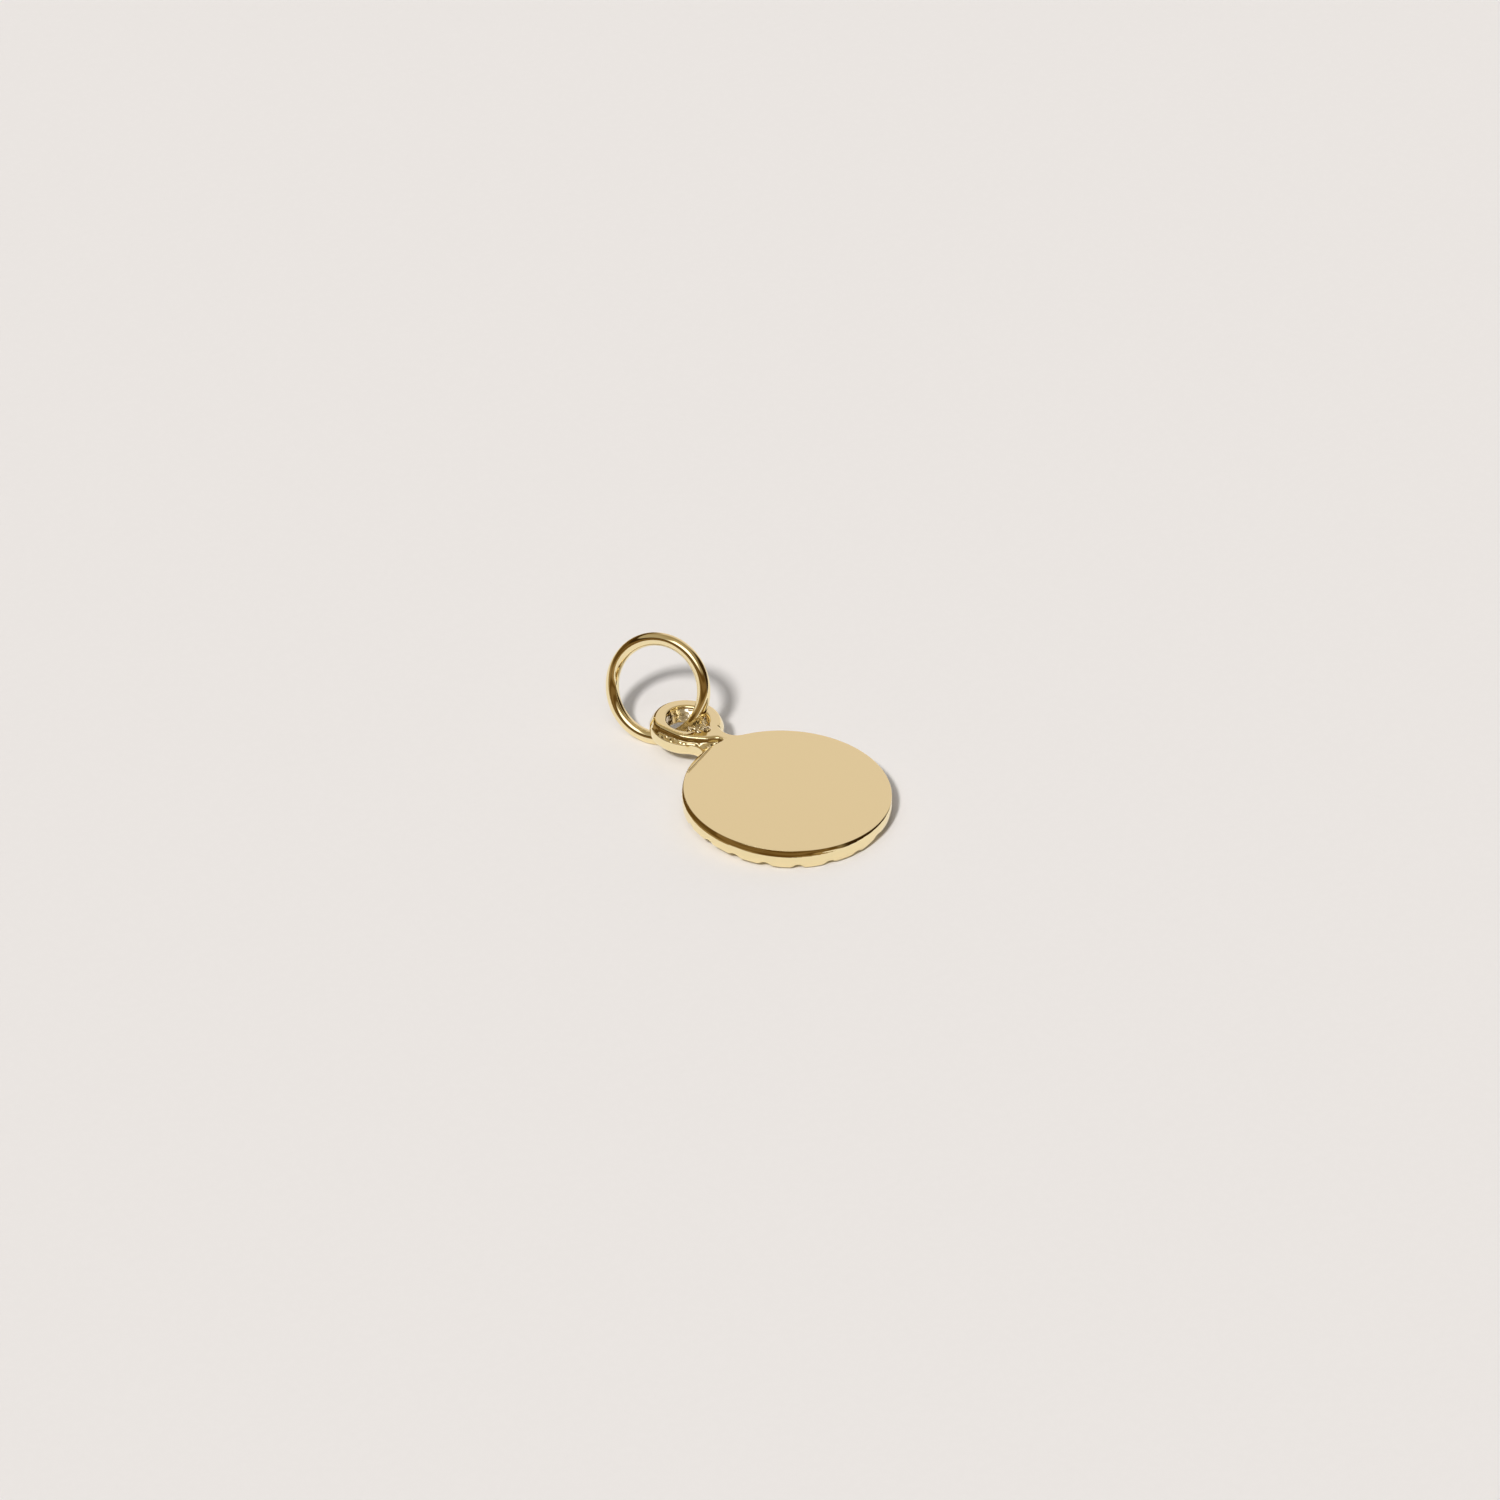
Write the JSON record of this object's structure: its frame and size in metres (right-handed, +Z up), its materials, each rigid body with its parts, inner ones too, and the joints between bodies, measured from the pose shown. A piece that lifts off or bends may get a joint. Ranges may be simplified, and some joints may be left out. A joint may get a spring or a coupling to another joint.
{
  "type": "round tag pendant",
  "caption": "Small plain round tag pendant in polished gold-coloured metal, with a notched underside rim, a hanging loop on a short neck, and a jump ring through the loop.",
  "frame": {"origin": "centre of the footprint, on the surface that the pendant lies on", "axes": "+Y along the tag from the disc towards the loop and the jump ring, +Z up, +X to the right"},
  "size_m": [0.01, 0.017, 0.0052],
  "materials": {
    "polished_gold": "mirror polish, pale yellow gold",
    "ring_gold": "mirror polish, drawn wire"
  },
  "bodies": {
    "root": {"tag": "polished_gold", "jump_ring": "ring_gold"}
  },
  "joints": []
}
